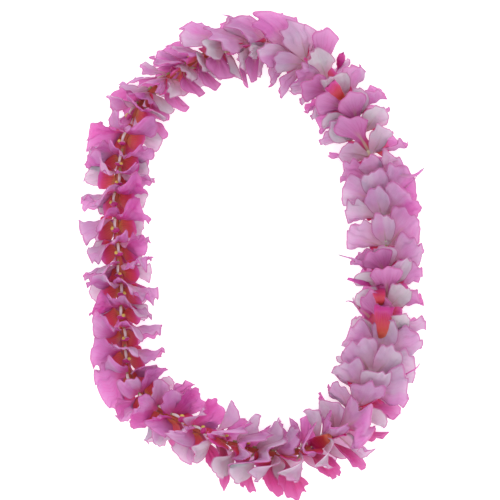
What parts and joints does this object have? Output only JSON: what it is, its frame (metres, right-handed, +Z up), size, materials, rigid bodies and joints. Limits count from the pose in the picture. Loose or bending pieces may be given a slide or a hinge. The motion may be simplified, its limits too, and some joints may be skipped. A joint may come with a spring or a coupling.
{
  "type": "fresh flower lei",
  "caption": "Closed garland of pink orchid blooms threaded face to back on one cotton string, lying flat in a long loop to be worn round the neck.",
  "frame": {"origin": "on the surface that the lei lies on, under the middle of its box", "axes": "+Z up, +Y along the loop's long way; the blooms face anticlockwise round the loop seen from above"},
  "size_m": [0.314, 0.4327, 0.0569],
  "materials": {
    "petals": "fresh orchid petals, satin, lilac pink paling to white on their backs, with a crimson and orange throat",
    "string": "undyed cotton thread, matt"
  },
  "bodies": {
    "root": {"string": "string", "bloom_01": "petals", "bloom_02": "petals", "bloom_03": "petals", "bloom_04": "petals", "bloom_05": "petals", "bloom_06": "petals", "bloom_07": "petals", "bloom_08": "petals", "bloom_09": "petals", "bloom_10": "petals", "bloom_11": "petals", "bloom_12": "petals", "bloom_13": "petals", "bloom_14": "petals", "bloom_15": "petals", "bloom_16": "petals", "bloom_17": "petals", "bloom_18": "petals", "bloom_19": "petals", "bloom_20": "petals", "bloom_21": "petals", "bloom_22": "petals", "bloom_23": "petals", "bloom_24": "petals", "bloom_25": "petals", "bloom_26": "petals", "bloom_27": "petals", "bloom_28": "petals", "bloom_29": "petals", "bloom_30": "petals", "bloom_31": "petals", "bloom_32": "petals", "bloom_33": "petals", "bloom_34": "petals", "bloom_35": "petals", "bloom_36": "petals", "bloom_37": "petals", "bloom_38": "petals", "bloom_39": "petals", "bloom_40": "petals", "bloom_41": "petals", "bloom_42": "petals", "bloom_43": "petals", "bloom_44": "petals", "bloom_45": "petals", "bloom_46": "petals", "bloom_47": "petals", "bloom_48": "petals", "bloom_49": "petals", "bloom_50": "petals"}
  },
  "joints": []
}
